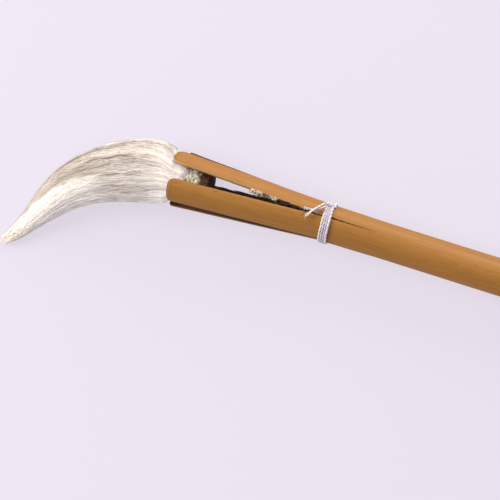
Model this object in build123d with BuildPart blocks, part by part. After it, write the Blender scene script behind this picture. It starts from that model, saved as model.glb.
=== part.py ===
"""Bamboo calligraphy brush whose front end is split into four prongs.

The prongs are held at their root by a few turns of thread, and the root of a
goat-hair tuft is wedged between their tips. The tuft curves to one side.

Frame, in millimetres: the origin is the centre of the butt end, +X points out of
the butt along the culm, +Z is up with the brush lying down, and the tuft curves
towards -Y. Angles round the culm are measured from +Z towards +Y.
"""

from build123d import *
from math import cos, radians, sin
import os

os.makedirs("parts", exist_ok=True)

# Culm: the unsplit length of bamboo
culm_length = 165.0
grip_length = 138.0
grip_radius = 6.5
split_radius = 6.8
bore_radius = 4.8
butt_rounding = 0.5
mouth_rounding = 0.3

# Cracks that run on past the split, as angle round the culm and length; each is cut
# from a point in front of the split
crack_width = 0.3
crack_start = 1.0
cracks = [(16.0, 19.0), (102.0, 9.0), (142.0, 12.0), (286.0, 7.0)]

# Prongs: edges round the culm, splay, direction of the splay, length, tip rounding
prong_gap = 1.3
prong_clearance = 0.25
hinge_radius = 5.8
prongs = [
    ("prong_1", 16.0, 102.0, 2.6, 59.0, 59.0, 3.2),
    ("prong_2", 102.0, 142.0, 4.6, 135.0, 57.0, 1.5),
    ("prong_3", 142.0, 286.0, 5.3, 237.0, 57.5, 1.8),
    ("prong_4", 286.0, 376.0, 5.2, 320.0, 57.5, 2.6),
]

# Thread bound round the root of the split, as place along the culm and ring radius
thread_radius = 0.45
turns = [(1.25, 7.23), (0.42, 7.3), (-0.42, 7.4), (-1.25, 7.55)]
knot_angle = 54.0
knot_place = 0.3
knot_radius = 1.25
knot_lift = 8.5
knot_seat = 7.74
tail_radius = 0.35

# Root of the tuft, measured from the split towards the tip
root_axis_y = -1.2
root_axis_z = 0.5
root_radius = 6.4
plug_start = 43.6
plug_rounding = 0.8
resin_start = 47.0
hair_start = 53.0
lashing_start = 48.8
lashing_turns = 4
lashing_radius = 0.3
lashing_groove = 0.7

# Tuft: distance from the split, y, z, turn towards -Y, half width, half thickness
tuft_sections = [
    (53.0, -1.2, 0.4, 0.0, 6.6, 6.6),
    (58.6, -1.4, 0.4, 3.0, 7.1, 7.1),
    (63.2, -1.4, -0.2, 9.0, 10.8, 8.7),
    (69.5, -2.6, -0.6, 14.0, 11.9, 9.1),
    (77.5, -5.3, -1.1, 21.0, 11.6, 8.8),
    (87.0, -10.0, -2.2, 31.0, 10.7, 7.9),
    (95.6, -16.4, -3.6, 44.0, 9.0, 6.4),
    (101.8, -23.8, -5.1, 53.0, 6.7, 5.0),
    (107.0, -31.2, -6.9, 56.0, 4.3, 3.4),
    (112.2, -38.6, -8.4, 54.0, 2.6, 1.9),
    (117.6, -44.6, -9.6, 48.0, 0.6, 0.5),
]
core_sections = 8
core_scale = 0.6
core_clearance = 0.1

# Where the tuft bends, and the round face on which its tip turns
bend_distance = 82.0
bend_y = -7.5
bend_turn = 30.0
bend_radius = 13.6
bend_clearance = 0.35
bend_block = 90.0

x_split = -culm_length


def around(angle):
    """Unit vector across the culm at an angle round it."""
    return Vector(0, sin(radians(angle)), cos(radians(angle)))


def along(distance, y=0.0, z=0.0):
    """Point at a distance from the split, towards the tip of the tuft."""
    return Vector(x_split - distance, y, z)


def finish(piece, name):
    """Label a finished piece and write it out."""
    piece.part.label = name
    export_step(piece.part, f"parts/{name}.step")


def ring_plane(distance):
    """Plane across the root of the tuft, facing the tip."""
    origin = along(distance, root_axis_y, root_axis_z)
    return Plane(origin=origin, x_dir=(0, 1, 0), z_dir=(-1, 0, 0))


def tuft_plane(distance, y, z, turn):
    """Plane across the tuft, facing along it."""
    forward = Vector(-cos(radians(turn)), -sin(radians(turn)), 0)
    return Plane(origin=along(distance, y, z), x_dir=(0, 0, 1), z_dir=forward)


def tuft_form(sections, scale=1.0, extra=0.0):
    """The tuft, or its core, lofted through its oval sections."""
    with BuildPart() as form:
        for distance, y, z, turn, half_width, half_thickness in sections:
            with BuildSketch(tuft_plane(distance, y, z, turn)):
                Ellipse(half_thickness * scale + extra, half_width * scale + extra)
        loft()
    return form.part


def beyond_bend(radius):
    """Block that holds all that lies beyond the round bending face."""
    pivot = along(bend_distance, bend_y, -bend_block / 2)
    forward = Vector(-cos(radians(bend_turn)), -sin(radians(bend_turn)), 0)
    with BuildPart() as block:
        with BuildSketch(Plane(origin=pivot, x_dir=forward, z_dir=(0, 0, 1))):
            Rectangle(bend_block, bend_block, align=(Align.MIN, Align.CENTER))
            Circle(radius, mode=Mode.SUBTRACT)
        extrude(amount=bend_block)
    return block.part


# Culm, with the cracks running on into it
with BuildPart() as culm:
    with BuildSketch(Plane.XZ):
        with BuildLine():
            Polyline(
                (0, bore_radius),
                (0, grip_radius),
                (-grip_length, grip_radius),
                (x_split, split_radius),
                (x_split, bore_radius),
                close=True,
            )
        make_face()
    revolve(axis=Axis.X)
    rims = culm.edges().filter_by(GeomType.CIRCLE).group_by(Axis.X)[-1].sort_by(SortBy.RADIUS)
    fillet(rims[-1], radius=butt_rounding)
    fillet(rims[0], radius=mouth_rounding)
    for crack_angle, crack_length in cracks:
        crack_plane = Plane(origin=along(0), x_dir=(1, 0, 0), z_dir=around(crack_angle))
        with BuildSketch(crack_plane):
            with BuildLine():
                Polyline(
                    (-crack_start, crack_width / 2),
                    (crack_length, 0),
                    (-crack_start, -crack_width / 2),
                    close=True,
                )
            make_face()
        extrude(amount=split_radius * 2, mode=Mode.SUBTRACT)
finish(culm, "culm")

# Prongs, each swung outward about its root
for name, edge_start, edge_end, splay, splay_angle, length, rounding in prongs:
    outward = around(splay_angle)
    hinge = along(0) + outward * hinge_radius
    swing = Axis(hinge, outward.cross(Vector(1, 0, 0)))
    root_centre = hinge + (along(prong_clearance) - hinge).rotate(swing, splay)
    prong_forward = Vector(-1, 0, 0).rotate(swing, splay)
    prong_plane = Plane(
        origin=root_centre,
        x_dir=Vector(0, 0, 1).rotate(swing, splay),
        z_dir=prong_forward,
    )
    start = edge_start + prong_gap / 2
    size = edge_end - edge_start - prong_gap
    with BuildPart() as prong:
        with BuildSketch(prong_plane):
            with BuildLine():
                outer = CenterArc((0, 0), split_radius, start, size)
                inner = CenterArc((0, 0), bore_radius, start, size)
                Line(outer @ 0, inner @ 0)
                Line(outer @ 1, inner @ 1)
            make_face()
        extrude(amount=length)
        lines = prong.edges().filter_by(GeomType.LINE)
        corners = lines.sort_by(Axis(root_centre, prong_forward))[-2:]
        fillet(corners, radius=rounding)
    finish(prong, name)

# Turns of thread round the root of the split
with BuildPart() as binding_wrap:
    with BuildSketch(Plane.XZ):
        for turn_distance, turn_radius in turns:
            with Locations((x_split + turn_distance, turn_radius)):
                Circle(thread_radius)
    revolve(axis=Axis.X)
finish(binding_wrap, "binding_wrap")

# Knot, sitting on the turns
knot_out = around(knot_angle)
with BuildPart() as binding_knot:
    with Locations(along(knot_place) + knot_out * knot_lift):
        Sphere(knot_radius)
    split(bisect_by=Plane(origin=along(0) + knot_out * knot_seat, z_dir=knot_out))
finish(binding_knot, "binding_knot")

# Loose ends of the thread, standing off the prongs
tails = [
    ("binding_tail_1", (0.4, 5.3, 6.9), (3.7, 2.9, 8.0), (7.7, 2.4, 8.4)),
    ("binding_tail_2", (1.4, 6.2, 6.0), (3.9, 3.0, 8.9), (6.2, -0.2, 8.9)),
]
for name, tail_start, tail_middle, tail_end in tails:
    points = [along(*point) for point in (tail_start, tail_middle, tail_end)]
    with BuildPart() as tail:
        with BuildLine():
            route = ThreePointArc(*points)
        with BuildSketch(Plane(origin=route @ 0, z_dir=route % 0)):
            Circle(tail_radius)
        sweep()
    finish(tail, name)

# Hardened root of the hair, and the resin that holds it together
with BuildPart() as root_plug:
    with BuildSketch(ring_plane(plug_start)):
        Circle(root_radius)
    extrude(amount=resin_start - plug_start)
    inner_rim = root_plug.edges().filter_by(GeomType.CIRCLE).sort_by(Axis.X)[-1]
    fillet(inner_rim, radius=plug_rounding)
finish(root_plug, "root_plug")

lashing_width = (lashing_turns - 1) * 2 * lashing_radius
with BuildPart() as root_resin:
    with BuildSketch(ring_plane(resin_start)):
        Circle(root_radius)
    extrude(amount=hair_start - resin_start)
    with BuildSketch(ring_plane(lashing_start - lashing_radius)):
        Circle(root_radius)
        Circle(root_radius - lashing_groove, mode=Mode.SUBTRACT)
    extrude(amount=lashing_width + 2 * lashing_radius, mode=Mode.SUBTRACT)
finish(root_resin, "root_resin")

root_axis = Axis(along(0, root_axis_y, root_axis_z), (1, 0, 0))
root_section = Plane(origin=root_axis.position, x_dir=(-1, 0, 0), z_dir=(0, 1, 0))
with BuildPart() as root_lashing:
    with BuildSketch(root_section):
        for turn in range(lashing_turns):
            place = lashing_start + turn * 2 * lashing_radius
            with Locations((place, root_radius - lashing_groove + lashing_radius)):
                Circle(lashing_radius)
    revolve(axis=root_axis)
finish(root_lashing, "root_lashing")

# Tuft: a core inside a cover, each in a base and a tip that turn on the bending face
core_profile = tuft_sections[:core_sections]
cover_form = tuft_form(tuft_sections)
core_form = tuft_form(core_profile, core_scale)
core_space = tuft_form(core_profile, core_scale, core_clearance)
tip_side = beyond_bend(bend_radius)
tip_side_clear = beyond_bend(bend_radius + bend_clearance)

with BuildPart() as tuft_core_base:
    add(core_form)
    add(tip_side, mode=Mode.SUBTRACT)
finish(tuft_core_base, "tuft_core_base")

with BuildPart() as tuft_core_tip:
    add(core_form)
    add(tip_side_clear, mode=Mode.INTERSECT)
finish(tuft_core_tip, "tuft_core_tip")

with BuildPart() as tuft_cover_base:
    add(cover_form)
    add(core_space, mode=Mode.SUBTRACT)
    add(tip_side, mode=Mode.SUBTRACT)
finish(tuft_cover_base, "tuft_cover_base")

with BuildPart() as tuft_cover_tip:
    add(cover_form)
    add(core_space, mode=Mode.SUBTRACT)
    add(tip_side_clear, mode=Mode.INTERSECT)
finish(tuft_cover_tip, "tuft_cover_tip")
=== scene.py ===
"""Looks of the split-bamboo calligraphy brush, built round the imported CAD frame.

Lengths are worked out in millimetres and written to the meshes in metres. A place is
given as its distance s from the split towards the tip of the tuft, and an angle round
the culm is measured from +Z towards +Y, as in the CAD model.
"""

import bpy
import math
import numpy as np
from mathutils import Matrix, Vector


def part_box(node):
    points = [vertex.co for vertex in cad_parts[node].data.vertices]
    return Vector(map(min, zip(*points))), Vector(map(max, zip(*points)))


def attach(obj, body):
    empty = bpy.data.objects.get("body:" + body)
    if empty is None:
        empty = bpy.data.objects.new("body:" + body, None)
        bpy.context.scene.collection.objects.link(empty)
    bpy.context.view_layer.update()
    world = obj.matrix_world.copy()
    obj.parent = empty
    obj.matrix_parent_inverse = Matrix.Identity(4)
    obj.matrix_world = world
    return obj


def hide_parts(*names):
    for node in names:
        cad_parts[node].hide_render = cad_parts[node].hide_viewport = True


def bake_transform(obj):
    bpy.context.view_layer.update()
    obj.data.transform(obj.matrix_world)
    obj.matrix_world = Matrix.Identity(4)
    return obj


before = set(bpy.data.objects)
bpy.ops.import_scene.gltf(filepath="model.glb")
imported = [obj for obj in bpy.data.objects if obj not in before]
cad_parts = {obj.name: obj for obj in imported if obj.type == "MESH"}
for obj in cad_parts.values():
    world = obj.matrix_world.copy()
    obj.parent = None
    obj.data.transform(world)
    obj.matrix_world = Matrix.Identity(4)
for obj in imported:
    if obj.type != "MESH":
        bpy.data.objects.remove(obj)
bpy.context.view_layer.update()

MM = 0.001
WOBBLE_WAVES = 5

# From the frame
culm_low, culm_high = (np.array(corner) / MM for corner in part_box("culm"))
X_SPLIT = culm_low[0]
SPLIT_RADIUS = culm_high[1]

# Bamboo
GRIP_RADIUS = 6.5
GRIP_LENGTH = 138.0
BORE_RADIUS = 4.8
BUTT_ROUNDING = 0.5
MOUTH_ROUNDING = 0.3

# Cracks that run on past the split: angle round the culm and length, then their width
# and depth at the split, and the degrees to each side that their columns of points take
CRACKS = [(16.0, 19.0), (102.0, 9.0), (142.0, 12.0), (286.0, 7.0)]
CRACK_WIDTH = 0.72
CRACK_DEPTH = 1.7
CRACK_ROOM = 8.0
AFTER_CRACKS = 2.0

# Prongs: name, edges, splay, its direction, length, tip rounding, how much shorter the
# tip is at the first and at the last edge, wear of the first edge, degrees it narrows
PRONGS = [
    ("prong_1", 16.0, 102.0, 2.6, 59.0, 59.0, 2.0, 0.0, 2.4, 0.45, 3.0),
    ("prong_2", 102.0, 142.0, 4.6, 135.0, 57.0, 1.5, 0.0, 1.5, 0.28, 0.0),
    ("prong_3", 142.0, 286.0, 5.3, 237.0, 57.5, 1.2, 3.0, 0.0, 0.28, 0.0),
    ("prong_4", 286.0, 376.0, 5.2, 320.0, 57.5, 2.2, 0.3, 0.0, 0.28, 0.0),
]
PRONG_GAP = 1.3
PRONG_CLEARANCE = 0.25
PRONG_CORNER = 0.28
HINGE_RADIUS = 5.8
ROUND_POINTS = 30
WALL_POINTS = 7

# Middle of the root of the tuft, across the culm
ROOT_Y = -1.2
ROOT_Z = 0.5

# Thread
THREAD_RADIUS = 0.43
THREAD_STEP = 0.22
THREAD_PITCH = 4.4
LINT_RADIUS = 0.028
BINDING_TURNS = 4.0
KNOT_ANGLE = 54.0
LASHING_TURNS = 4
LASHING_RADIUS = 0.19

# Tuft: distance from the split, y, z, turn towards -Y, half width, half thickness
TUFT = np.array([
    (48.0, -1.1, 0.4, 0.0, 6.0, 6.0),
    (53.0, -1.2, 0.4, 0.0, 6.6, 6.6),
    (57.3, -1.2, 0.4, 1.0, 7.3, 7.1),
    (59.6, -0.65, 0.3, 3.0, 10.05, 7.9),
    (61.4, -0.55, 0.1, 6.0, 10.85, 8.4),
    (63.6, -0.75, -0.2, 9.0, 11.25, 8.8),
    (69.7, -1.95, -0.6, 14.0, 11.55, 9.2),
    (77.8, -4.6, -1.1, 21.0, 10.95, 8.8),
    (87.4, -9.3, -2.2, 31.0, 9.85, 7.9),
    (96.0, -16.0, -3.6, 44.0, 8.4, 6.4),
    (102.0, -23.65, -5.1, 53.0, 6.45, 5.0),
    (107.0, -31.2, -6.9, 56.0, 4.4, 3.4),
    (112.2, -38.6, -8.4, 54.0, 2.9, 1.9),
    (117.4, -44.3, -9.5, 48.0, 1.3, 0.7),
])

# How the hair widens beyond the prongs, away from its edges: place and half width
WIDENING = ([5.0, 9.3, 12.0, 15.6, 21.5], [6.6, 7.3, 8.6, 10.3, 11.55])

# Hair that wells up between the two upper prongs: degrees round the tuft, width in
# degrees and height
WELL_ANGLE = -16.0
WELL_WIDTH = 11.0
WELL_HEIGHT = 2.7

# Gaps between locks, painted as shade: degrees round the tuft, change of angle along it, centre, length,
# width in degrees and darkness of the painted shade
PARTINGS = [
    (62.5, -24.0, 0.39, 0.25, 2.1, 1.3),
    (38.0, -30.0, 0.345, 0.07, 2.2, 0.9),
    (100.0, -20.0, 0.33, 0.16, 1.6, 0.45),
    (122.0, -20.0, 0.36, 0.14, 1.8, 0.5),
    (140.0, -10.0, 0.30, 0.18, 1.6, 0.5),
    (78.0, -30.0, 0.45, 0.14, 1.6, 0.4),
]
FAINT_PARTINGS = 34
PARTING_SEED = 71

# How far strands stray from their lock, in radians and in parts of the radius, and how
# far locks and strands drift round the tuft over their length, in radians
STRAND_SPREAD = 0.055
STRAND_DEPTH = 0.030
LOCK_DRIFT = 0.09
STRAND_DRIFT = 0.05


# -------------------- helpers

def around(angle):
    """Unit vector across the culm at an angle round it, in degrees."""
    a = np.radians(angle)
    return np.stack([np.zeros_like(a), np.sin(a), np.cos(a)], axis=-1)


def along(s, y=0.0, z=0.0):
    """Point at distance s from the split."""
    s, y, z = np.broadcast_arrays(np.asarray(s, float), y, z)
    return np.stack([X_SPLIT - s, y, z], axis=-1)


def unit(v):
    """Vectors scaled to length one."""
    return v / np.maximum(np.linalg.norm(v, axis=-1, keepdims=True), 1e-9)


def ease(t):
    """Smooth step from 0 to 1."""
    t = np.clip(t, 0.0, 1.0)
    return t * t * (3 - 2 * t)


def degrees_off(angle, other):
    """Difference of two angles, in degrees between -180 and 180."""
    return np.degrees(np.angle(np.exp(1j * (angle - other))))


def wobble(x, seed, length):
    """Smooth seeded wander of about -1 to 1, on the scale of a length."""
    rng = np.random.default_rng(seed)
    x = np.asarray(x, float)
    total = np.zeros_like(x)
    for _ in range(WOBBLE_WAVES):
        total += np.sin(x * 2 * np.pi * rng.uniform(0.5, 2.0) / length + rng.uniform(0, 6.28))
    return total / WOBBLE_WAVES


def make_mesh(name, points, faces, smooth=True):
    """New object from points in millimetres and an array of faces of equal size."""
    mesh = bpy.data.meshes.new(name)
    points = np.asarray(points, float).reshape(-1, 3)
    faces = np.asarray(faces, np.int32)
    corners = faces.shape[1]
    mesh.vertices.add(len(points))
    mesh.vertices.foreach_set("co", (points * MM).astype(np.float32).ravel())
    mesh.loops.add(faces.size)
    mesh.loops.foreach_set("vertex_index", faces.ravel())
    mesh.polygons.add(len(faces))
    mesh.polygons.foreach_set("loop_start", np.arange(0, faces.size, corners, dtype=np.int32))
    mesh.polygons.foreach_set("use_smooth", np.full(len(faces), smooth))
    mesh.update(calc_edges=True)
    mesh.validate()
    piece = bpy.data.objects.new(name, mesh)
    bpy.context.scene.collection.objects.link(piece)
    return piece


def give(piece, name, values):
    """Store a number or a vector for every point, for the materials to read."""
    values = np.asarray(values, np.float32)
    kind = "FLOAT" if values.ndim == 1 else "FLOAT_VECTOR"
    layer = piece.data.attributes.new(name, kind, "POINT")
    layer.data.foreach_set("value" if kind == "FLOAT" else "vector", values.ravel())


def give_capped(piece, name, values):
    """Store a grid's values on a capped grid; its ends take the first and last value."""
    values = values.reshape(-1, *values.shape[2:])
    give(piece, name, np.concatenate([values, values[:1], values[-1:]]))


def grid_faces(rows, columns, close_rows=False, close_columns=True):
    """Quads of a grid of points, wrapped round where asked."""
    r = np.arange(rows if close_rows else rows - 1)
    c = np.arange(columns if close_columns else columns - 1)
    r, c = np.meshgrid(r, c, indexing="ij")
    r2, c2 = (r + 1) % rows, (c + 1) % columns
    quads = np.stack([r * columns + c, r * columns + c2, r2 * columns + c2, r2 * columns + c], -1)
    return quads.reshape(-1, 4)


def capped_grid(name, points):
    """Closed round form from rings of points, with a point at the middle of each end."""
    rows, columns = points.shape[:2]
    ends = [points[0].mean(axis=0), points[-1].mean(axis=0)]
    k = np.arange(columns)
    k2 = (k + 1) % columns
    base = (rows - 1) * columns
    caps = np.concatenate([
        np.stack([np.full(columns, rows * columns), k2, k], -1),
        np.stack([np.full(columns, rows * columns + 1), base + k, base + k2], -1),
    ])
    quads = grid_faces(rows, columns)
    halves = np.concatenate([quads[:, [0, 1, 2]], quads[:, [0, 2, 3]]])
    return make_mesh(name, np.concatenate([points.reshape(-1, 3), ends]), np.concatenate([halves, caps]))


def curve(points, count=60):
    """Smooth curve through a few points."""
    p = np.array(points, float)
    p = np.concatenate([[2 * p[0] - p[1]], p, [2 * p[-1] - p[-2]]])
    pieces = []
    per = max(count // (len(p) - 3), 2)
    for k in range(1, len(p) - 2):
        t = np.linspace(0, 1, per, endpoint=k == len(p) - 3)[:, None]
        a, b, c, d = p[k - 1], p[k], p[k + 1], p[k + 2]
        pieces.append(0.5 * (2 * b + (c - a) * t + (2 * a - 5 * b + 4 * c - d) * t ** 2
                             + (3 * b - a - 3 * c + d) * t ** 3))
    return np.concatenate(pieces)


def path_frames(paths):
    """Tangents and two steady cross directions for paths of shape (n, m, 3)."""
    tangent = unit(np.gradient(paths, axis=1))
    side = np.zeros_like(paths)
    side[:, 0] = unit(np.cross(tangent[:, 0], np.array([0.31, 0.62, 0.72])))
    for k in range(1, paths.shape[1]):
        v = side[:, k - 1]
        v = v - tangent[:, k] * np.sum(v * tangent[:, k], axis=-1, keepdims=True)
        side[:, k] = unit(v)
    return tangent, side, np.cross(tangent, side)


def make_tubes(name, paths, radii, sides):
    """Object made of closed tapered tubes along paths of shape (n, m, 3), all triangles.

    It also gives the number of points in each tube.
    """
    n, m, _ = paths.shape
    _, side, up = path_frames(paths)
    angles = np.arange(sides) * 2 * np.pi / sides
    ring = side[:, :, None] * np.cos(angles)[:, None] + up[:, :, None] * np.sin(angles)[:, None]
    points = paths[:, :, None] + ring * radii[:, :, None, None]
    ends = np.stack([paths[:, 0], paths[:, -1]], axis=1)
    block = m * sides + 2
    points = np.concatenate([points.reshape(n, -1, 3), ends], axis=1)
    k = np.arange(sides)
    first = np.stack([np.full(sides, block - 2), (k + 1) % sides, k], axis=-1)
    base = (m - 1) * sides
    last = np.stack([np.full(sides, block - 1), base + k, base + (k + 1) % sides], axis=-1)
    offset = (np.arange(n) * block)[:, None, None]
    quads = (grid_faces(m, sides)[None] + offset).reshape(-1, 4)
    caps = (np.concatenate([first, last])[None] + offset).reshape(-1, 3)
    faces = np.concatenate([quads[:, [0, 1, 2]], quads[:, [0, 2, 3]], caps])
    return make_mesh(name, points, faces), block


def spread_uv(piece, count, block):
    """Lay each tube of a piece in its own cell of the map."""
    mesh = piece.data
    cells = math.ceil(math.sqrt(count))
    corner = np.zeros(len(mesh.loops), np.int32)
    mesh.loops.foreach_get("vertex_index", corner)
    tube, place = corner // block, corner % block
    u = (tube % cells + 0.1 + 0.8 * (place % 3) / 3) / cells
    v = (tube // cells + 0.1 + 0.8 * place / block) / cells
    layer = mesh.uv_layers.new(name="OFBake")
    layer.data.foreach_set("uv", np.stack([u, v], -1).astype(np.float32).ravel())


# -------------------- materials

class Nodes:
    """Short way to build a procedural material."""

    def __init__(self, name, roughness=0.5, **sockets):
        self.material = bpy.data.materials.new(name)
        self.material.use_nodes = True
        self.tree = self.material.node_tree
        self.shader = self.tree.nodes["Principled BSDF"]
        self.shader.inputs["Roughness"].default_value = roughness
        for socket, value in sockets.items():
            self.shader.inputs[socket.replace("_", " ")].default_value = value

    def add(self, kind, **settings):
        node = self.tree.nodes.new(kind)
        for key, value in settings.items():
            setattr(node, key, value)
        return node

    def link(self, output, target):
        self.tree.links.new(output, target)

    def attribute(self, name, output="Fac"):
        return self.add("ShaderNodeAttribute", attribute_name=name).outputs[output]

    def scaled(self, vector, scale):
        node = self.add("ShaderNodeVectorMath", operation="MULTIPLY")
        self.link(vector, node.inputs[0])
        node.inputs[1].default_value = scale
        return node.outputs[0]

    def noise(self, vector, scale, detail=4.0, roughness=0.55):
        node = self.add("ShaderNodeTexNoise")
        self.link(self.scaled(vector, scale), node.inputs["Vector"])
        node.inputs["Scale"].default_value = 1.0
        node.inputs["Detail"].default_value = detail
        node.inputs["Roughness"].default_value = roughness
        return node.outputs["Fac"]

    def remap(self, value, low, high, to_low=0.0, to_high=1.0):
        node = self.add("ShaderNodeMapRange")
        self.link(value, node.inputs["Value"])
        for key, number in zip(("From Min", "From Max", "To Min", "To Max"), (low, high, to_low, to_high)):
            node.inputs[key].default_value = number
        return node.outputs["Result"]

    def maths(self, operation, a, b):
        node = self.add("ShaderNodeMath", operation=operation)
        for socket, value in zip(node.inputs, (a, b)):
            if isinstance(value, (int, float)):
                socket.default_value = value
            else:
                self.link(value, socket)
        return node.outputs[0]

    def ramp(self, value, stops):
        node = self.add("ShaderNodeValToRGB")
        elements = node.color_ramp.elements
        while len(elements) < len(stops):
            elements.new(0.5)
        for element, (place, colour) in zip(elements, stops):
            element.position = place
            element.color = (*colour, 1)
        self.link(value, node.inputs["Fac"])
        return node.outputs["Color"]

    def mix(self, factor, a, b, blend="MIX"):
        node = self.add("ShaderNodeMix", data_type="RGBA", blend_type=blend)
        for socket, value in ((node.inputs[0], factor), (node.inputs[6], a), (node.inputs[7], b)):
            if isinstance(value, tuple):
                socket.default_value = (*value, 1)
            elif isinstance(value, (int, float)):
                socket.default_value = value
            else:
                self.link(value, socket)
        return node.outputs[2]

    def bump(self, height, strength, distance):
        node = self.add("ShaderNodeBump")
        node.inputs["Strength"].default_value = strength
        node.inputs["Distance"].default_value = distance * MM
        self.link(height, node.inputs["Height"])
        self.link(node.outputs["Normal"], self.shader.inputs["Normal"])

    def colour(self, output):
        self.link(output, self.shader.inputs["Base Color"])


def bamboo_material():
    """Golden bamboo skin with straight grain and specks, paler where it is split, with painted shade in
    the cracks and on the inner faces and painted light on the worn split face.
    """
    m = Nodes("bamboo", roughness=0.52, Specular_IOR_Level=0.2)
    grain = m.attribute("grain", "Vector")
    fibres = m.noise(grain, (0.035, 2.4, 1.5), 6.0, 0.62)
    fine = m.noise(grain, (0.12, 7.0, 4.0), 3.0, 0.5)
    patches = m.noise(grain, (0.05, 0.22, 0.3), 3.0, 0.5)
    mottle = m.noise(grain, (0.16, 0.55, 0.6), 4.0, 0.6)
    skin = m.ramp(fibres, [
        (0.30, (0.248, 0.102, 0.018)),
        (0.47, (0.296, 0.128, 0.024)),
        (0.60, (0.322, 0.143, 0.030)),
        (0.75, (0.352, 0.163, 0.038)),
    ])
    skin = m.mix(m.remap(patches, 0.35, 0.7, 0.0, 0.35), skin, (0.287, 0.115, 0.019))
    skin = m.mix(m.remap(mottle, 0.50, 0.72, 0.0, 0.30), skin, (0.217, 0.081, 0.014))
    skin = m.mix(m.remap(fine, 0.58, 0.80, 0.0, 0.30), skin, (0.209, 0.081, 0.014))
    specks = m.add("ShaderNodeTexVoronoi")
    m.link(m.scaled(grain, (0.16, 0.62, 0.5)), specks.inputs["Vector"])
    specks.inputs["Scale"].default_value = 1.0
    spot = m.remap(specks.outputs["Distance"], 0.06, 0.13, 1.0, 0.0)
    rare = m.remap(m.noise(grain, (0.11, 0.3, 0.3), 1.0), 0.50, 0.58)
    skin = m.mix(m.maths("MULTIPLY", spot, m.maths("MULTIPLY", rare, 0.8)), skin, (0.148, 0.038, 0.010))
    flesh = m.ramp(fibres, [
        (0.3, (0.085, 0.036, 0.014)),
        (0.5, (0.155, 0.072, 0.028)),
        (0.7, (0.30, 0.165, 0.075)),
    ])
    # pith_and_shade: the inner wall is a near-black brown, pith colour with the painted shade of the bore
    # in it
    pith_and_shade = m.ramp(fibres, [
        (0.3, (0.018, 0.009, 0.005)),
        (0.55, (0.045, 0.022, 0.011)),
        (0.75, (0.10, 0.052, 0.026)),
    ])
    depth = m.attribute("depth")
    colour = m.mix(m.remap(depth, 0.04, 0.16), skin, flesh)
    colour = m.mix(m.remap(depth, 0.40, 0.85), colour, pith_and_shade)
    # stain_and_shade darkens the bamboo: painted shade in the cracks, on the cut and inner faces and on
    # prong_3's underside edge, and a darkening towards the prong tips and along the split edges
    stain_and_shade = m.maths("MULTIPLY", m.attribute("stain_and_shade"), m.remap(mottle, 0.3, 0.5, 0.7, 1.0))
    colour = m.mix(stain_and_shade, colour, (0.040, 0.015, 0.008))
    # painted light: the worn split face is brightened to a pale wood colour
    m.colour(m.mix(m.attribute("fresh_and_lit"), colour, (0.50, 0.28, 0.12)))
    m.bump(m.mix(0.5, fibres, fine), 0.35, 0.05)
    return m.material


def thread_material(name, shaded_colour, lit_colour):
    """Soft cotton, from a lilac grey painted shade to a lit cream white, darker where lint is thin."""
    m = Nodes(name, roughness=0.85, Sheen_Weight=0.2)
    grain = m.attribute("grain", "Vector")
    lint = m.noise(grain, (2.0, 6.0, 6.0), 4.0, 0.6)
    # painted light: lilac grey shade to lit cream along the thread
    colour = m.mix(m.attribute("painted_light"), shaded_colour, lit_colour)
    m.colour(m.mix(m.remap(lint, 0.3, 0.6, 0.50, 0.0), colour, (0.28, 0.25, 0.30)))
    m.bump(lint, 0.4, 0.06)
    return m.material


def hair_material(name, light, dark, tip):
    """Goat hair: from painted shade to painted light by place on the tuft and by lock and strand, and
    warmer at the ends.
    """
    m = Nodes(name, roughness=0.5, Specular_IOR_Level=0.3, Sheen_Weight=0.3, Sheen_Roughness=0.4)
    colour = m.mix(m.attribute("tone_and_shade"), dark, light)
    colour = m.mix(m.remap(m.attribute("length"), 0.80, 1.0, 0.0, 0.8), colour, tip, "MULTIPLY")
    m.colour(colour)
    return m.material


def core_material():
    """The mass of hair under the strands, streaked along its length, with the tuft's painted shade and
    light.
    """
    m = Nodes("hair_mass", roughness=0.7, Specular_IOR_Level=0.1)
    grain = m.attribute("grain", "Vector")
    streaks = m.noise(grain, (0.06, 1.6, 1.6), 6.0, 0.65)
    light = m.mix(m.attribute("tone_and_shade"), (0.50, 0.42, 0.34), (0.88, 0.82, 0.74))
    m.colour(m.mix(m.remap(streaks, 0.35, 0.65, 0.55, 0.0), light, (0.34, 0.27, 0.21)))
    m.bump(streaks, 0.8, 0.4)
    return m.material


def resin_material():
    """Greenish translucent resin with bubbles and hair in it."""
    m = Nodes("resin", roughness=0.28, Transmission_Weight=0.25, IOR=1.5)
    grain = m.attribute("grain", "Vector")
    cloud = m.noise(grain, (0.5, 0.5, 0.5), 5.0, 0.6)
    m.colour(m.ramp(cloud, [
        (0.32, (0.26, 0.185, 0.095)),
        (0.45, (0.44, 0.345, 0.195)),
        (0.58, (0.62, 0.525, 0.34)),
        (0.72, (0.82, 0.73, 0.54)),
    ]))
    m.bump(m.noise(grain, (1.5, 1.5, 1.5), 4.0), 0.6, 0.2)
    return m.material


def root_material():
    """Hair roots singed and set hard."""
    m = Nodes("hardened_root", roughness=0.7, Specular_IOR_Level=0.12)
    grain = m.attribute("grain", "Vector")
    streaks = m.noise(grain, (0.5, 2.5, 2.5), 5.0, 0.6)
    m.colour(m.ramp(streaks, [
        (0.3, (0.014, 0.006, 0.003)),
        (0.55, (0.055, 0.022, 0.011)),
        (0.75, (0.14, 0.066, 0.032)),
    ]))
    m.bump(streaks, 0.9, 0.3)
    return m.material


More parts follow.
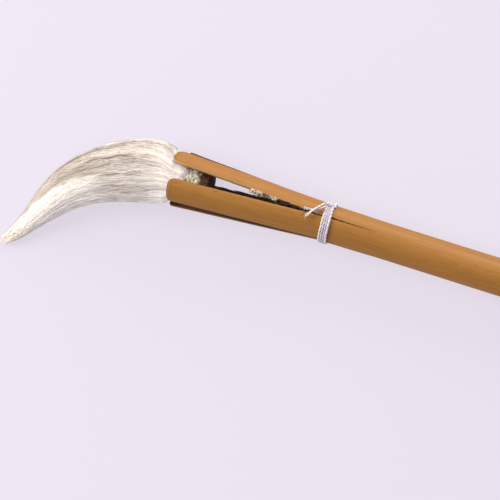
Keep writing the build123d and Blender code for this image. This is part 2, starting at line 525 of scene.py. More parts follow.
def fibre_material():
    """Torn bamboo fibre, from near black, used as painted shade, to a pale straw."""
    m = Nodes("torn_fibre", roughness=0.7, Specular_IOR_Level=0.2)
    grain = m.attribute("grain", "Vector")
    streaks = m.noise(grain, (0.9, 1.0, 1.0), 3.0)
    colour = m.ramp(m.attribute("pale"), [
        (0.0, (0.020, 0.009, 0.005)),
        (0.30, (0.16, 0.080, 0.035)),
        (0.60, (0.42, 0.27, 0.15)),
        (0.90, (0.86, 0.74, 0.58)),
    ])
    m.colour(m.mix(m.remap(streaks, 0.4, 0.65, 0.4, 0.0), colour, (0.06, 0.028, 0.012)))
    m.bump(streaks, 0.4, 0.05)
    return m.material


def floor_material():
    """Plain pale ground."""
    m = Nodes("ground", roughness=0.9, Specular_IOR_Level=0.1)
    m.shader.inputs["Base Color"].default_value = (0.135, 0.128, 0.142, 1)
    m.shader.inputs["Emission Color"].default_value = (0.845, 0.785, 0.885, 1)
    m.shader.inputs["Emission Strength"].default_value = 0.755
    return m.material


# -------------------- bamboo

def culm_profile():
    """The culm's outline, out along its skin, round the butt and back along its bore.

    It gives the distance behind the split, the radius and which points are on the skin.
    """
    reach = max(length for _, length in CRACKS)
    fine = np.arange(0.0, reach + AFTER_CRACKS, 0.5)
    coarse = np.linspace(reach + AFTER_CRACKS, -X_SPLIT - BUTT_ROUNDING, 50)
    outer_x = np.concatenate([fine, coarse[1:]])
    flare = ease((-X_SPLIT - outer_x - GRIP_LENGTH) / (-X_SPLIT - GRIP_LENGTH))
    outer_r = GRIP_RADIUS + (SPLIT_RADIUS - GRIP_RADIUS) * flare
    corner = np.radians(np.linspace(0, 90, 7))[1:]
    round_x = -X_SPLIT - BUTT_ROUNDING * (1 - np.sin(corner))
    round_r = GRIP_RADIUS - BUTT_ROUNDING * (1 - np.cos(corner))
    mouth_r = BORE_RADIUS + MOUTH_ROUNDING * (1 - np.sin(corner))
    mouth_x = -X_SPLIT - MOUTH_ROUNDING * (1 - np.cos(corner))
    face_r = np.linspace(round_r[-1], BORE_RADIUS + MOUTH_ROUNDING, 8)[1:]
    bore_x = np.linspace(-X_SPLIT - MOUTH_ROUNDING, 0.0, 40)[1:]
    rim_r = np.linspace(BORE_RADIUS, SPLIT_RADIUS, 5)[1:-1]
    face_x, bore_r = np.full(len(face_r), -X_SPLIT), np.full(len(bore_x), BORE_RADIUS)
    px = np.concatenate([outer_x, round_x, face_x, mouth_x, bore_x, np.zeros(len(rim_r))])
    pr = np.concatenate([outer_r, round_r, face_r, mouth_r, bore_r, rim_r])
    return px, pr, np.arange(len(px)) < len(outer_x)


def crack_columns(px, pr, is_outer):
    """Angles of the columns of points round the culm, and how far each point is sunk.

    The columns are even but for those at a crack, which follow its walls and floor.
    """
    even = np.arange(0, 360, 2.0)
    for angle, _ in CRACKS:
        even = even[np.abs((even - angle + 180) % 360 - 180) > CRACK_ROOM]
    plain = np.tile(even, (len(px), 1))
    angles, sunk = [plain], [np.zeros_like(plain)]
    floor_steps = np.array([-0.95, -0.45, 0.0, 0.45, 0.95])
    lip_steps = np.array([0.0, 0.25, 0.5, 0.75])
    for number, (angle, length) in enumerate(CRACKS):
        left = 1 - np.clip(px / length, 0, 1)
        wide = CRACK_WIDTH * left ** 0.8 * (0.85 + 0.3 * wobble(px, 40 + number, 4.0))
        wide = np.maximum(wide, 0.02)
        drift = 0.75 * wobble(px, 50 + number, 24.0) * np.clip(px / length, 0, 1)
        half = np.degrees(wide / 2 / pr)[:, None]
        lip = half * 1.05
        outside = lip + (CRACK_ROOM - lip) * lip_steps
        across_crack = np.concatenate([-outside[:, ::-1], half * floor_steps, outside], 1)
        angles.append(angle + drift[:, None] + across_crack)
        deep = CRACK_DEPTH * ease(left * 6) * is_outer
        inside = np.repeat([0.0, 1.0, 0.0], [len(lip_steps), len(floor_steps), len(lip_steps)])
        sunk.append(deep[:, None] * inside)
    angles = np.concatenate(angles, axis=1)
    sunk = np.concatenate(sunk, axis=1)
    order = np.argsort(angles[0] % 360)
    return angles[:, order], sunk[:, order]


def culm_piece():
    """The unsplit bamboo: a hollow tube with a rounded butt and cracks run into it."""
    px, pr, is_outer = culm_profile()
    angles, sunk = crack_columns(px, pr, is_outer)
    radius = pr[:, None] - sunk
    bow = 0.05 * wobble(px, 7, 90.0)[:, None] * is_outer[:, None]
    lump = 0.035 * np.sin(np.radians(angles * 3) + px[:, None] * 0.02) * is_outer[:, None]
    radius = radius + lump
    points = along(-px[:, None] + 0 * angles) + around(angles) * radius[..., None]
    points[..., 2] += bow
    piece = make_mesh("bamboo_culm", points, grid_faces(*angles.shape, close_rows=True))
    arc = np.radians((angles + 180) % 360 - 180) * SPLIT_RADIUS
    give(piece, "grain", np.stack([-px[:, None] + 0 * arc, arc, radius], -1).reshape(-1, 3))
    depth = np.clip((pr[:, None] + 0.02 - radius) / 1.2, 0, 1) * is_outer[:, None]
    inner = np.clip((GRIP_RADIUS - radius) / (GRIP_RADIUS - BORE_RADIUS), 0, 1) * ~is_outer[:, None]
    give(piece, "depth", (depth + inner).ravel())
    # painted shade: the floors of the cracks are darkened, more where they are sunk deeper
    give(piece, "stain_and_shade", (np.clip(sunk / CRACK_DEPTH * 1.5, 0, 1) * 0.9).ravel())
    give(piece, "fresh_and_lit", np.zeros(radius.size))
    return piece


def swing_out(flat, splay, splay_angle):
    """Points of a prong, turned outward about its root."""
    out = around(np.array(splay_angle))
    hinge = along(0.0) + out * HINGE_RADIUS
    axis = np.cross(out, np.array([1.0, 0, 0]))
    c, n = math.cos(math.radians(splay)), math.sin(math.radians(splay))
    arm = flat - hinge
    return hinge + arm * c + np.cross(axis, arm) * n + axis * (arm @ axis)[..., None] * (1 - c)


def prong_section(start, end, first_wear):
    """Angle and radius round a prong's section, its first outer edge worn."""
    turn = np.degrees(PRONG_CORNER / SPLIT_RADIUS)
    outer = np.linspace(start + np.degrees(first_wear / SPLIT_RADIUS), end - turn, ROUND_POINTS)
    inner = np.linspace(end - turn, start + turn, ROUND_POINTS)
    end_wall = np.linspace(SPLIT_RADIUS - PRONG_CORNER, BORE_RADIUS + PRONG_CORNER, WALL_POINTS)
    start_wall = np.linspace(SPLIT_RADIUS - first_wear, BORE_RADIUS + PRONG_CORNER, 5)[:0:-1]
    worn = np.radians(np.linspace(0, 90, WALL_POINTS))[:0:-1]
    worn_angle = start + np.degrees(first_wear * (1 - np.sin(worn)) / SPLIT_RADIUS)
    worn_radius = SPLIT_RADIUS - first_wear * (1 - np.cos(worn))
    end_angle = np.full(len(end_wall), end)
    start_angle = np.full(len(start_wall), start)
    angle = np.concatenate([outer, end_angle, inner, start_angle, worn_angle])
    radius = np.concatenate([
        np.full(ROUND_POINTS, SPLIT_RADIUS), end_wall,
        np.full(ROUND_POINTS, BORE_RADIUS), start_wall, worn_radius,
    ])
    return angle, radius


def prong_piece(name, start, end, splay, splay_angle, length, rounding, cut_first, cut_last,
                first_wear, narrows):
    """A strip of the culm, bent outward at its root, with worn corners at its tip."""
    seed = int(name[-1]) * 11
    start, end = start + PRONG_GAP / 2, end - PRONG_GAP / 2
    angle, radius = prong_section(start, end, first_wear)
    centre, half = (start + end) / 2, (end - start) / 2
    position = (angle - centre) / half

    # along the prong: rounded corners at the tip, uneven edges and a worn end
    round_start = length - rounding
    corner = np.radians(np.linspace(6, 90, 14))
    s = np.concatenate([np.linspace(PRONG_CLEARANCE, round_start, 70),
                        round_start + rounding * np.sin(corner)])
    cut = 1 - np.sqrt(np.clip(1 - (np.clip(s - round_start, 0, None) / rounding) ** 2, 0, 1))
    narrow = np.degrees(rounding * cut / SPLIT_RADIUS)
    rooms = []
    for edge_seed, long, short in ((seed, 9.0, 2.2), (seed + 2, 11.0, 2.6)):
        ragged = 0.10 * wobble(s, edge_seed, long) + 0.05 * wobble(s, edge_seed + 1, short)
        rooms.append(half - narrow - np.degrees(np.abs(ragged) * ease(s / 8) / SPLIT_RADIUS))
    rooms[0] = rooms[0] - narrows * ease(s / 30)
    room = np.where(position[None] < 0, rooms[0][:, None], rooms[1][:, None])
    turned = centre + position[None] * np.maximum(room, 0.5)
    thin = np.sqrt(1 - np.clip(s - (length - 1.0), 0.0, 1.0) ** 2)
    middle = (SPLIT_RADIUS + BORE_RADIUS) / 2
    r = middle + (radius[None] - middle) * np.maximum(thin, 0.25)[:, None]
    r = r + 0.04 * wobble(s, seed + 4, 25.0)[:, None]
    slant = np.where(position < 0, -position * cut_first, position * cut_last)
    torn = 0.22 * wobble(angle, seed + 6, 24.0) + 0.12 * wobble(angle, seed + 7, 7.0)
    shorter = (slant + torn)[None] * ease((s[:, None] - length + 9) / 9)
    points = swing_out(along(s[:, None] - shorter) + around(turned) * r[..., None], splay, splay_angle)
    piece = capped_grid("bamboo_" + name, points)

    # for the material: grain, depth under the skin, painted light on the pale worn split face, and
    # darkening that includes painted shade
    arc = np.radians(turned) * SPLIT_RADIUS
    give_capped(piece, "grain", np.stack([s[:, None] + 0 * arc, arc, r], -1))
    depth = np.clip((SPLIT_RADIUS - 0.1 - radius) / (SPLIT_RADIUS - BORE_RADIUS), 0, 1)
    edge = np.where(np.abs(position) > 0.985, 0.35, 0.0)
    # the worn face of prong_1's first edge: pale split wood, lifted further by painted light because it
    # lies in shade
    worn_face = (position < -0.8) & (first_wear > 0.4) & (radius > BORE_RADIUS + 0.5)
    fresh_and_lit = worn_face & ((position < -0.985) | (radius < SPLIT_RADIUS - 0.05))
    give(piece, "fresh_and_lit", np.concatenate([np.tile(fresh_and_lit, len(s)), [0.0, 0.0]]))
    depth = np.where(worn_face, 0.03, np.maximum(depth, edge))[None] + 0 * turned
    end_grain = ease((s - length + 0.5) / 0.5)[:, None] * 0.4
    depth = np.maximum(depth, end_grain)
    give(piece, "depth", np.concatenate([depth.ravel(), [0.5, 0.5]]))
    stain_and_shade = 0.35 * ease((s - length + 2.5) / 3)[:, None] * np.ones_like(turned)
    if name == "prong_3":
        # painted shade, mottled, on the edge that shows below the others, stronger towards its root
        underside_shade = 0.50 - 0.30 * ease((s - 30) / 20)[:, None] + 0.30 * wobble(s, seed + 9, 9.0)[:, None]
        stain_and_shade = np.maximum(stain_and_shade, underside_shade * ease((s / length)[:, None] * 2.5) * ease((turned - 236) / 30))
    # darker along the split edges of each prong, but not on the worn face
    from_edge = np.minimum(np.abs(turned - start), np.abs(turned - end))
    near_edge_dark = 0.40 * (0.6 + 0.5 * wobble(s, seed + 8, 7.0)[:, None]) * np.exp(-(from_edge / 4.0) ** 2)
    stain_and_shade = np.maximum(stain_and_shade, np.where(worn_face, 0.0, np.clip(near_edge_dark, 0, 1)))
    # painted shade: cut walls, inner faces and tip end faces, all deeper than 0.3, are darkened further
    stain_and_shade = np.maximum(stain_and_shade, 0.80 * (depth > 0.3))
    give(piece, "stain_and_shade", np.concatenate([stain_and_shade.ravel(), [0.5, 0.5]]))
    return piece


# -------------------- thread

def thread_piece(name, route, radius, fray, seed, lint, painted_lights):
    """Soft thread of three plies along a route, with loose fibres.

    The painted light runs from lilac grey shade at 0 to lit cream at 1, evenly spaced along the route.
    """
    rng = np.random.default_rng(seed)
    lengths = np.concatenate([[0], np.cumsum(np.linalg.norm(np.diff(route, axis=0), axis=1))])
    count = max(int(lengths[-1] / THREAD_STEP), 12)
    at = np.linspace(0, lengths[-1], count)
    line = np.stack([np.interp(at, lengths, route[:, k]) for k in range(3)], -1)
    _, side, up = path_frames(line[None])
    side, up = side[0], up[0]
    loose = 1 + fray * ease((at / lengths[-1] - 0.55) / 0.45) ** 2
    plies, radii = [], []
    for ply in range(3):
        turn = at * 2 * np.pi / THREAD_PITCH + ply * 2 * np.pi / 3 + 0.3 * wobble(at, seed + ply, 5.0)
        off = radius * 0.44 * loose * (1 + 0.12 * wobble(at, seed + 5 + ply, 2.5))
        plies.append(line + (side * np.cos(turn)[:, None] + up * np.sin(turn)[:, None]) * off[:, None])
        taper = 1 - 0.55 * fray / (1 + fray) * ease((at / lengths[-1] - 0.7) / 0.3)
        radii.append(radius * 0.60 * taper * (1 + 0.08 * wobble(at, seed + 9 + ply, 1.2)))
    piece, block = make_tubes(name, np.array(plies), np.array(radii), sides=8)
    ring = np.repeat(at, 8)
    ring = np.concatenate([ring, [0.0, at[-1]]])
    number = np.repeat(np.arange(3), block)
    around_ply = np.tile(np.concatenate([np.tile(np.arange(8) / 8, count), [0, 0]]), 3)
    give(piece, "grain", np.stack([np.tile(ring, 3), around_ply + number * 3, number * 5.0], -1))
    painted_light = np.interp(ring / at[-1], np.linspace(0, 1, len(painted_lights)), painted_lights)
    give(piece, "painted_light", np.tile(painted_light, 3) + 0.12 * (number - 1))
    if lint:
        centre = line[rng.integers(0, count, lint)]
        if fray:
            centre = line[-1 - rng.integers(0, count // 4, lint)]
        aim = unit(rng.normal(size=(lint, 3)) + (unit(line[-1] - line[-4]) * 2.2 if fray else 0))
        curl = unit(rng.normal(size=(lint, 3)))
        t = np.linspace(0, 1, 7)[None, :, None]
        reach = rng.uniform(0.5, 1.3, (lint, 1, 1)) * (1.3 if fray else 1.0)
        strands = centre[:, None] + aim[:, None] * t * reach + curl[:, None] * t * t * reach * 0.5
        thin = np.full((lint, 7), LINT_RADIUS) * np.linspace(1, 0.4, 7)
        fuzz, _ = make_tubes(name + "_lint", strands, thin, sides=3)
        give(fuzz, "grain", np.zeros((len(fuzz.data.vertices), 3)))
        give(fuzz, "painted_light", np.full(len(fuzz.data.vertices), 0.7))
        return piece, fuzz
    return piece, None


def binding_route():
    """The thread's way round the root of the split, four turns that meet near the knot."""
    a = np.linspace(0, 360 * BINDING_TURNS, int(BINDING_TURNS * 110))
    angle = KNOT_ANGLE - a
    c, n = np.cos(np.radians(angle)), np.sin(np.radians(angle))
    top = np.clip(n, 0, 1) ** 2
    spread = 0.82 - 0.30 * top
    middle = -0.80 - 0.40 * c + 0.15 * n
    s = middle + (BINDING_TURNS / 2 - a / 360) * spread + 0.06 * wobble(a, 21, 130)
    raised = 0.30 * top * np.sin(np.radians(a / 2)) ** 2
    rise = 0.05 * np.clip(s, 0, None) + 0.03 * wobble(a, 23, 200) + raised
    radius = SPLIT_RADIUS + THREAD_RADIUS * 0.96 + rise
    return along(s) + around(angle) * radius[:, None]


def knot_route():
    """A small overhand knot lying on the turns."""
    t = np.linspace(0, 2 * np.pi * 0.97, 90)
    a = np.sin(t) + 2 * np.sin(2 * t)
    b = np.cos(t) - 2 * np.cos(2 * t)
    c = -np.sin(3 * t)
    out = np.array(around(np.array(KNOT_ANGLE)))
    tangent = np.cross(out, np.array([-1.0, 0, 0]))
    centre = along(0.1) + out * (SPLIT_RADIUS + 1.20)
    route = centre + np.array([-1.0, 0, 0]) * (a * 0.33)[:, None]
    return route + tangent * (b * 0.27)[:, None] + out * (c * 0.30)[:, None]


def fibre_piece(name, groups, seed):
    """Torn bamboo fibres, each along a prong's split edge and a little way off it.

    A group is the prong's row, how many fibres, where along the prong, how long, how far
    off, how deep, how pale and how thick.
    """
    rng = np.random.default_rng(seed)
    paths, radii, pale, start = [], [], [], []
    for row, count, places, long, off, sunk, shades, thick in groups:
        for _ in range(count):
            f = np.linspace(0, 1, 12)
            middle, run = rng.uniform(*places), rng.uniform(*long)
            s = np.clip(middle + run * (f - 0.5) * rng.choice([-1, 1]), 1.0, row[5] - 1.0)
            reach = off[0] + (off[1] - off[0]) * rng.uniform(0.2, 1) * f ** rng.uniform(0.7, 1.8)
            reach = reach + 0.06 * wobble(f, rng.integers(9999), 0.9)
            radius = SPLIT_RADIUS - rng.uniform(*sunk) - 0.12 * wobble(f, rng.integers(9999), 0.9)
            angle = row[1] + 2 - np.degrees(reach / SPLIT_RADIUS)
            paths.append(swing_out(along(s) + around(angle) * radius[:, None], row[3], row[4]))
            radii.append(rng.uniform(*thick) * np.sin(np.pi * (0.2 + 0.75 * f)) ** 0.6)
            pale.append(rng.uniform(*shades))
            start.append(rng.uniform(0, 90))
    piece, block = make_tubes(name, np.array(paths), np.array(radii), sides=5)
    number = np.repeat(np.arange(len(paths)), block)
    give(piece, "pale", np.array(pale)[number])
    place = np.tile(np.arange(block) / 5.0, len(paths))
    give(piece, "grain", np.stack([place, np.array(start)[number], 0 * place], -1))
    return piece


# -------------------- tuft

UP = np.array([0.0, 0.0, 1.0])
TUFT_ROWS = curve(TUFT, 520)
TUFT_LINE = along(TUFT_ROWS[:, 0], TUFT_ROWS[:, 1], TUFT_ROWS[:, 2])
TUFT_RUN = np.concatenate([[0], np.cumsum(np.linalg.norm(np.diff(TUFT_LINE, axis=0), axis=1))])
TUFT_LENGTH = TUFT_RUN[-1]


def tuft_value(place, values):
    """A value of the tuft's table at a place along its middle line, in millimetres."""
    return np.interp(place, TUFT_RUN, values)


def tuft_point(t, radial, angle):
    """Points of the tuft and the way to its outer side there, at t from root to tip.

    Radial 1 is the surface. Angle 0 is the outer side of the curve and 90 degrees the
    top. The hair widens just past the ends of the prongs, sooner at its lower edge, and
    between the two upper prongs it wells out a little before that.
    """
    t, radial, angle = np.broadcast_arrays(t, radial, angle)
    place = t * TUFT_LENGTH
    centre = np.stack([tuft_value(place, TUFT_LINE[:, k]) for k in range(3)], -1)
    turn = np.radians(tuft_value(place, TUFT_ROWS[:, 3]))
    side = np.stack([-np.sin(turn), np.cos(turn), np.zeros_like(turn)], -1)
    behind_prong = ease((np.cos(angle - np.radians(45)) - 0.55) / 0.3)
    late = place - 1.7 * behind_prong * (place > 8) * ease((20 - place) / 8)
    edge = ease((np.abs(np.cos(angle)) - 0.6) / 0.35)
    gentle = np.interp(late, *WIDENING)
    width = tuft_value(late, TUFT_ROWS[:, 4])
    width = np.where(late < WIDENING[0][-1], gentle + (width - gentle) * edge, width)
    below = ease((-np.cos(angle) - 0.6) / 0.35) * ease((np.sin(angle) + 0.05) / 0.15)
    width = width + 1.3 * below * ease((place - 7.2) / 2.0) * ease((13.2 - place) / 3.2)
    thick = tuft_value(late, TUFT_ROWS[:, 5])
    c, n = np.cos(angle) * radial * width, np.sin(angle) * radial * thick
    off = degrees_off(angle, np.radians(WELL_ANGLE))
    well = WELL_HEIGHT * np.exp(-(off / WELL_WIDTH) ** 2)
    well = well * ease((place - 5.4) / 3.2) * ease((11.9 - place) / 2.8)
    return centre + side * (c + well * radial)[..., None] + UP * n[..., None], side


def painted_lock_light(t, angle):
    """How bright the hair is painted: painted shade outside the curve and along its outer edge, painted
    light inside it, brighter near the root, and painted shade in the gaps between locks.
    """
    c = np.cos(angle)
    belly = 0.48 - 0.02 * ease((c - 0.2) / 0.6) + 0.20 * ease((-c - 0.1) / 0.6)
    belly = belly + (0.24 - 0.16 * ease((c - 0.4) / 0.4)) * ease((0.25 - t) / 0.12)
    border = np.interp(t, [0.40, 0.455, 0.65, 0.83, 1.0], [-0.2, -0.1, 0.2, 0.6, 1.0])
    border = border + 0.05 * np.sin(t * 60) + 0.03 * np.sin(t * 143 + 1)
    bright = ease((border - c) / 0.22 + 0.5)
    beyond = 0.28 - 0.22 * ease((c - 0.84) / 0.12) + 0.90 * bright
    tone_and_shade = belly + (beyond - belly) * ease((t - 0.40) / 0.14)
    rng = np.random.default_rng(PARTING_SEED)
    rows = list(PARTINGS)
    for _ in range(FAINT_PARTINGS):
        rows.append((rng.uniform(0, 360), rng.uniform(-40, 40), rng.uniform(0.16, 0.8),
                     rng.uniform(0.06, 0.2), rng.uniform(0.8, 1.8), rng.uniform(0.14, 0.34)))
    # painted shade along each gap between locks
    for at, drift, middle, long, wide, dark in rows:
        line = np.radians(at + drift * (t - middle) + 1.2 * np.sin(t * 70 + at))
        off = degrees_off(angle, line)
        window = ease((long / 2 - np.abs(t - middle)) / (long * 0.3))
        tone_and_shade = tone_and_shade - dark * np.exp(-(off / wide) ** 2) * window
    return tone_and_shade


def hair_mass():
    """The solid mass of the hair under the loose strands, ridged along its length."""
    t = np.linspace(0.0, 0.88, 150)
    a = np.radians(np.arange(0, 360, 2.0))
    tt, aa = np.meshgrid(t, a, indexing="ij")
    ridges = 0.022 * np.sin(aa * 23 + 2 * np.sin(tt * 9))
    ridges = ridges + 0.02 * np.sin(aa * 41 + 5 * np.sin(tt * 7 + 1))
    radial = 0.84 + ridges - 0.22 * ease((tt - 0.55) / 0.33)
    points, _ = tuft_point(tt, radial, aa)
    piece = capped_grid("hair_mass", points)
    give_capped(piece, "grain", np.stack([tt * 75, aa * 9, radial], -1))
    give_capped(piece, "tone_and_shade", painted_lock_light(tt, aa))
    return piece


def soften(piece, outward):
    """Turn the strands' normals most of the way to the tuft's own, for soft shading."""
    count = len(piece.data.vertices)
    own = np.zeros(count * 3, np.float32)
    piece.data.vertices.foreach_get("normal", own)
    total = outward.shape[0]
    whole = np.repeat(outward[:, :, None], 3, axis=2).reshape(total, -1, 3)
    whole = np.concatenate([whole, outward[:, :1], outward[:, -1:]], axis=1).reshape(-1, 3)
    normals = unit(own.reshape(-1, 3) * 0.6 + whole * 0.4)
    piece.data.normals_split_custom_set_from_vertices(normals.tolist())


def hair_layer(name, locks, each, depth, seed, thin, points=28, arc=(0, 360), ends=(0.8, 1.0),
               stray=0.0, swing=0.30, first=(0.045, 0.075), vary=0.085):
    """Wavy strands gathered in locks, between two depths of the tuft.

    Each strand grows from its place in the first range to its lock's end, in parts of
    the tuft's length. Strays lift off the surface by that part of its radius.
    """
    rng = np.random.default_rng(seed)
    total = locks * each
    lock = np.repeat(np.arange(locks), each)
    lock_angle = np.radians(rng.uniform(*arc, locks))
    lock_radial = rng.uniform(*depth, locks)
    lock_end = rng.uniform(*ends, locks)
    lock_phase = rng.uniform(0, 2 * np.pi, locks)
    lock_wave = rng.uniform(6.0, 11.0, locks)
    lock_swing = swing * rng.uniform(0.4, 1.5, locks)
    lock_light = rng.normal(0, vary, locks)
    begin = rng.uniform(*first, total)
    end = np.clip(lock_end[lock] - np.abs(rng.normal(0, 0.04, total)), 0.2, 1.0)
    f = np.linspace(0, 1, points)[None] ** 1.15
    t = begin[:, None] + (end - begin)[:, None] * f
    gather = 1 - 0.75 * ease((f - 0.2) / 0.8)
    away_angle = rng.normal(0, STRAND_SPREAD, total)[:, None] * gather
    away_radial = rng.normal(0, STRAND_DEPTH, total)[:, None] * gather
    drift = rng.normal(0, LOCK_DRIFT, locks)[lock][:, None] * (f - 0.35)
    own_drift = rng.normal(0, STRAND_DRIFT, total)[:, None] * (f - 0.5)
    angle = lock_angle[lock][:, None] + away_angle + drift + own_drift
    out = stray * np.abs(rng.normal(0, 1, total))[:, None] * ease((f - 0.1) / 0.9) ** 1.3
    radial = np.clip(lock_radial[lock][:, None] + away_radial, 0.02, 1.01) + out
    base = painted_lock_light(t, angle)
    sunk = np.clip(0.55 - base, 0, 0.5) * 0.10
    paths, side = tuft_point(t, radial - sunk, angle)
    run = t * TUFT_LENGTH
    calm = ease((run - 11) / 8) * (1 - 0.6 * ease((t - 0.45) / 0.3))
    phase = lock_phase[lock] + rng.normal(0, 0.35, total)
    wave = 2 * np.pi * run / lock_wave[lock][:, None] + phase[:, None]
    sway = lock_swing[lock][:, None] * calm
    around_way = side * (-np.sin(angle))[..., None] + UP * np.cos(angle)[..., None]
    outward = side * np.cos(angle)[..., None] + UP * np.sin(angle)[..., None]
    paths = paths + around_way * (np.cos(wave) * sway)[..., None]
    paths = paths + outward * (np.sin(wave * 0.8) * sway * 0.45 - sway * 0.3)[..., None]
    radii = thin * rng.uniform(0.65, 1.2, total)[:, None] * (1 - 0.85 * f ** 3)
    piece, block = make_tubes(name, paths, radii, sides=3)
    soften(piece, outward)
    shade = base + lock_light[lock][:, None] + rng.normal(0, vary * 0.8, total)[:, None]
    shade = np.clip(shade, 0.0, 1.0)
    for key, values in (("tone_and_shade", shade), ("length", t)):
        ring = np.repeat(values[:, :, None], 3, axis=2).reshape(total, -1)
        give(piece, key, np.concatenate([ring, values[:, :1], values[:, -1:]], axis=1).ravel())
    spread_uv(piece, total, block)
    return piece


# -------------------- root of the tuft

def root_lump(name, low, high, radius, rough, seed):
    """Uneven round lump across the root of the tuft."""
    s = np.linspace(low, high, 28)
    a = np.radians(np.arange(0, 360, 5.0))
    ss, aa = np.meshgrid(s, a, indexing="ij")
    shoulder = np.sqrt(np.clip(1 - (2 * (ss - low) / (high - low) - 1) ** 8, 0.0, 1))
    lump = np.sin(aa * 3 + ss * 1.3 + seed)
    lump = rough * (lump + 0.7 * np.sin(aa * 7 - ss * 2.1) + 0.6 * np.sin(aa * 13 + ss * 3))
    r = (radius + lump) * (0.25 + 0.75 * shoulder)
    centre = along(ss, ROOT_Y, ROOT_Z)
    points = centre + np.stack([0 * aa, np.sin(aa), np.cos(aa)], -1) * r[..., None]
    piece = capped_grid(name, points)
    give_capped(piece, "grain", np.stack([ss, aa * radius, r], -1))
    return piece


def lashing_route():
    """Thin thread wound round the root, loose enough to squirm."""
    a = np.linspace(0, 360 * LASHING_TURNS, 140 * LASHING_TURNS)
    s = 48.9 + a / 360 * 0.75 + 0.95 * wobble(a, 61, 75) + 0.50 * wobble(a, 62, 31)
    r = 6.34 + 0.18 * wobble(a, 63, 38)
    return along(s, ROOT_Y, ROOT_Z) + around(a + 20) * r[:, None]


# -------------------- placing

def dress(piece, material, body, slot_name, *nodes):
    """Material, body and the CAD nodes a piece stands for. The slot name is not used."""
    piece.data.materials.clear()
    piece.data.materials.append(material)
    if body:
        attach(piece, body)
    if nodes:
        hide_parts(*nodes)
    return piece


def softbox(name, place, size, power, colour):
    """Square area light aimed at the root of the split."""
    data = bpy.data.lights.new(name, "AREA")
    data.shape = "SQUARE"
    data.size = size
    data.energy = power
    data.color = colour
    lamp = bpy.data.objects.new(name, data)
    aim = Vector((X_SPLIT * MM, -0.01, 0))
    lamp.location = Vector(place)
    lamp.rotation_mode = "QUATERNION"
    lamp.rotation_quaternion = (Vector(place) - aim).to_track_quat("Z", "Y")
    bpy.context.scene.collection.objects.link(lamp)


# -------------------- build

bamboo = bamboo_material()
cotton = thread_material("cotton_thread", (0.455, 0.405, 0.455), (0.80, 0.73, 0.70))
fine_cotton = thread_material("root_thread", (0.46, 0.42, 0.32), (0.72, 0.68, 0.58))
hair = hair_material("goat_hair", (0.99, 0.93, 0.86), (0.34, 0.262, 0.195), (1.0, 0.91, 0.81))

dress(culm_piece(), bamboo, "handle", "bamboo", "culm")
for row in PRONGS:
    prong = prong_piece(*row)
    dress(prong, bamboo, None, "bamboo", row[0])
    tuple(along(-1.0) * MM)
    tuple(along(12.0) * MM)
    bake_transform(prong)

threads = [
    # name, route, radius, fray, seed, lint, material, painted light from shade to lit along the route,
    # nodes it stands for
    ("binding_thread", binding_route(), THREAD_RADIUS, 0.0, 3, 90, cotton,
     (0.55, 0.5, 0.15, 0.1, 0.15, 0.3, 1.0, 1.0), ["binding_wrap"]),
    ("knot_thread", knot_route(), THREAD_RADIUS * 0.85, 0.0, 5, 14, cotton,
     (0.5, 0.6), ["binding_knot"]),
    ("loose_end_1", curve([along(0.4, 5.3, 6.9), along(3.7, 2.9, 8.0), along(7.7, 2.4, 8.4)]),
     0.36, 1.6, 7, 16, cotton, (0.5, 0.1, 0.2), ["binding_tail_1"]),
    ("loose_end_2", curve([along(1.4, 6.2, 6.0), along(3.9, 3.0, 8.9), along(6.2, -0.2, 8.9)]),
     0.36, 1.6, 9, 16, cotton, (0.5, 0.7, 1.0), ["binding_tail_2"]),
    ("lashing_thread", lashing_route(), LASHING_RADIUS, 0.0, 11, 0, fine_cotton,
     (0.6, 1.0, 0.4), ["root_lashing"]),
]
for name, route, radius, fray, seed, lint, material, painted_lights, nodes in threads:
    cord_piece, fuzz = thread_piece(name, route, radius, fray, seed, lint, painted_lights)
    dress(cord_piece, material, "handle", "thread", *nodes)
    if fuzz:
        dress(fuzz, material, "handle", "thread")

row_1, row_3 = PRONGS[0], PRONGS[2]
fibre = fibre_material()
torn = [
    (row_1, 34, (19.0, 27.0), (2.5, 6.0), (-0.1, 1.9), (0.3, 1.4), (0.05, 0.50), (0.09, 0.18)),
    # near-black fibres: painted shade in the split near its root
    (row_1, 60, (6.0, 20.0), (2.5, 7.0), (-0.1, 1.5), (0.3, 1.6), (0.0, 0.16), (0.10, 0.22)),
    (row_1, 26, (24.2, 28.2), (1.0, 2.6), (-0.2, 2.0), (0.0, 0.9), (0.58, 0.92), (0.10, 0.22)),
    (row_1, 14, (18.6, 20.8), (0.8, 2.0), (-0.2, 1.6), (0.0, 0.7), (0.60, 0.95), (0.10, 0.20)),
]
edge_fibres = [
    # near-black fibres: painted shade along prong_3's edge below the others
    (row_3, 130, (9.0, 52.0), (6.0, 14.0), (-0.3, 0.85), (0.2, 1.6), (0.0, 0.08), (0.16, 0.30)),
]
dress(fibre_piece("torn_fibres", torn, 81), fibre, "prong_1", "bamboo")
dress(fibre_piece("split_edge_fibres", edge_fibres, 83), fibre, "prong_3", "bamboo")

root_block = root_lump("root_block", 43.6, 47.2, 6.35, 0.10, 1.0)
dress(root_block, root_material(), "handle", "hardened_root", "root_plug")
resin_collar = root_lump("resin_collar", 46.6, 54.9, 6.25, 0.16, 2.0)
dress(resin_collar, resin_material(), "handle", "resin", "root_resin")

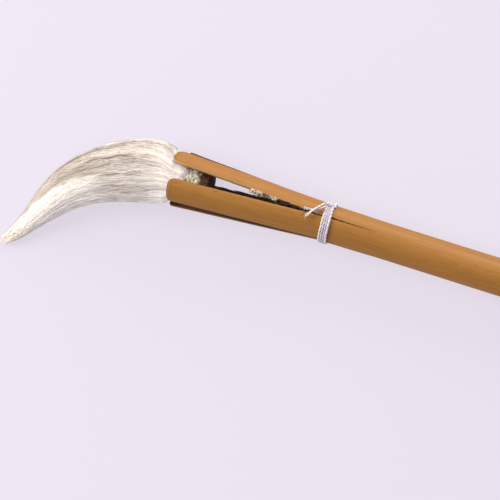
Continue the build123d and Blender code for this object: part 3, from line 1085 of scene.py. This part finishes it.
bend_start, bend_end = (tuple(tuft_point(t, 0.0, 0.0)[0] * MM) for t in (0.36, 0.72))
full = dict(depth=(0.90, 1.0), thin=0.105)
layers = [
    ("hair_inner", dict(locks=180, each=11, depth=(0.78, 0.93), seed=31, thin=0.12, points=16,
                        ends=(0.86, 1.0))),
    ("hair_cover_1", dict(locks=100, each=11, seed=32, ends=(0.84, 1.0), **full)),
    ("hair_cover_2", dict(locks=100, each=11, seed=33, ends=(0.80, 1.0), **full)),
    ("hair_cover_3", dict(locks=120, each=9, seed=34, ends=(0.70, 0.98), **full)),
    ("hair_cover_4", dict(locks=150, each=7, seed=36, ends=(0.60, 0.98), vary=0.115, **full)),
    ("hair_stray", dict(locks=110, each=2, depth=(0.96, 1.0), seed=35, thin=0.045,
                        ends=(0.45, 1.0), stray=0.05)),
    ("hair_flyaway", dict(locks=16, each=1, depth=(0.98, 1.0), seed=41, thin=0.045, arc=(-25, 35),
                          ends=(0.36, 0.62), first=(0.08, 0.2), stray=0.11)),
    ("hair_well", dict(locks=22, each=12, depth=(0.72, 1.0), seed=37, thin=0.10, arc=(-30, -2),
                       ends=(0.5, 0.9), first=(0.03, 0.06))),
]
mass = dress(hair_mass(), core_material(), None, "hair", "tuft_core_base", "tuft_core_tip")
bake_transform(mass)
for name, settings in layers:
    layer = hair_layer(name, **settings)
    covered = ["tuft_cover_base", "tuft_cover_tip"] if name == "hair_cover_1" else []
    dress(layer, hair, None, "hair", *covered)
    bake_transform(layer)

# -------------------- stage, light and camera

# The floor lies just under the butt and the lowest prong, so it slopes along the brush
FLOOR_REACH = 4000.0
FLOOR_CLEARANCE = 0.1
prong_low = np.array(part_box("prong_3")[0]) / MM
slope = (-GRIP_RADIUS - prong_low[2]) / (0 - prong_low[0])
corners = FLOOR_REACH * np.array([(-1, -1), (1, -1), (1, 1), (-1, 1)])
floor_height = -GRIP_RADIUS - FLOOR_CLEARANCE + slope * corners[:, 0]
ground = make_mesh("ground", np.column_stack([corners, floor_height]), [(0, 1, 2, 3)], smooth=False)
ground.data.materials.append(floor_material())

# Camera: tilt from straight above towards the butt, roll, distance from what it looks
# at, and how far that lies from the split, along the brush and across it
ALPHA = math.radians(11)
ROLL = math.radians(17.8)
DISTANCE = 650.0
AIM_ALONG = 22.8
AIM_ACROSS = 17.7
FOCAL_LENGTH = 131.0
back = Vector((math.sin(ALPHA), 0, math.cos(ALPHA)))
level = Vector((math.cos(ALPHA), 0, -math.sin(ALPHA)))
across = Vector((0, 1, 0))
right = level * math.cos(ROLL) + across * math.sin(ROLL)
upward = across * math.cos(ROLL) - level * math.sin(ROLL)
target = Vector((X_SPLIT, 0, 0)) - level * AIM_ALONG - across * AIM_ACROSS
camera_data = bpy.data.cameras.new("camera")
camera_data.lens = FOCAL_LENGTH
camera_data.sensor_width = 36.0
camera_data.clip_start = 0.01
camera = bpy.data.objects.new("camera", camera_data)
camera.matrix_world = (Matrix.Translation((target + back * DISTANCE) * MM)
                       @ Matrix((right, upward, back)).transposed().to_4x4())
bpy.context.scene.collection.objects.link(camera)
bpy.context.scene.camera = camera

softbox("key", (-0.10, 1.05, 0.38), 0.6, 14.0, (1.0, 0.98, 0.96))
softbox("fill", (-1.15, 0.00, 0.60), 0.7, 18.0, (1.0, 0.98, 0.95))
softbox("bounce", (-0.38, -0.36, 0.14), 0.15, 0.30, (1.0, 0.97, 0.94))
world = bpy.data.worlds.new("studio")
world.use_nodes = True
world.node_tree.nodes["Background"].inputs["Color"].default_value = (0.86, 0.84, 0.93, 1)
world.node_tree.nodes["Background"].inputs["Strength"].default_value = 0.55
bpy.context.scene.world = world
bpy.context.scene.view_settings.view_transform = "Standard"
